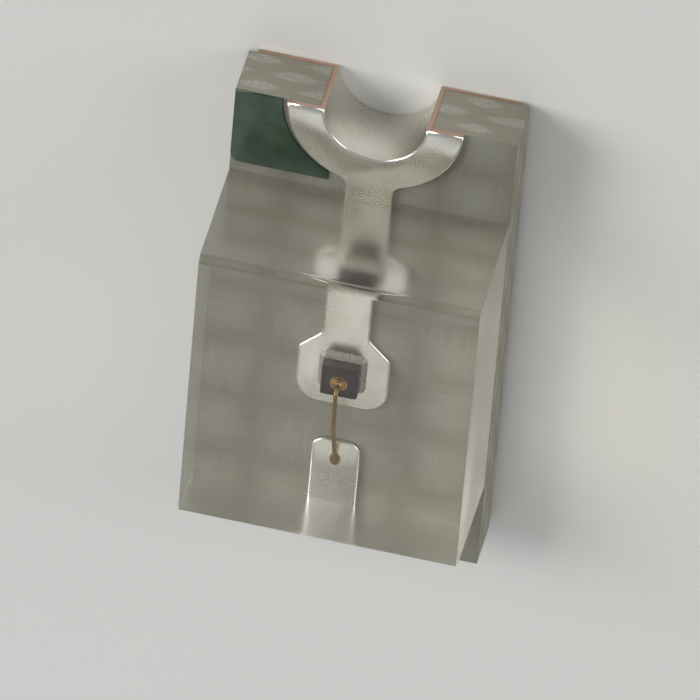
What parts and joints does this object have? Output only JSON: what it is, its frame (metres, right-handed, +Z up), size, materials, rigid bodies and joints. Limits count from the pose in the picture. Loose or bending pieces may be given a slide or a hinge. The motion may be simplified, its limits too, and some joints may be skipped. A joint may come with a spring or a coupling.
{
  "type": "smd led",
  "caption": "Rectangular 1206-size chip LED: clear epoxy block on a laminate board with plated half-round end terminals",
  "frame": {"origin": "centre of the underside, in the plane of the solder lands", "axes": "+X from the cathode end to the anode end, +Z up out of the light-giving face, Y across the width"},
  "size_m": [0.0032, 0.0016, 0.0011],
  "materials": {
    "laminate": "satin",
    "terminal_plating": "satin",
    "green_ink": "satin",
    "silver_adhesive": "matte",
    "die_semiconductor": "satin",
    "light_layer": "gloss",
    "gold": "polished",
    "clear_epoxy": "gloss"
  },
  "bodies": {
    "root": {"laminate_core": "laminate", "cathode_terminal": "terminal_plating", "anode_terminal": "terminal_plating", "cathode_corner_mark": "green_ink", "underside_mark": "green_ink", "die_adhesive": "silver_adhesive", "die_substrate": "die_semiconductor", "die_light_layer": "light_layer", "die_electrode": "gold", "bond_wire": "gold", "encapsulant": "clear_epoxy"}
  },
  "joints": []
}
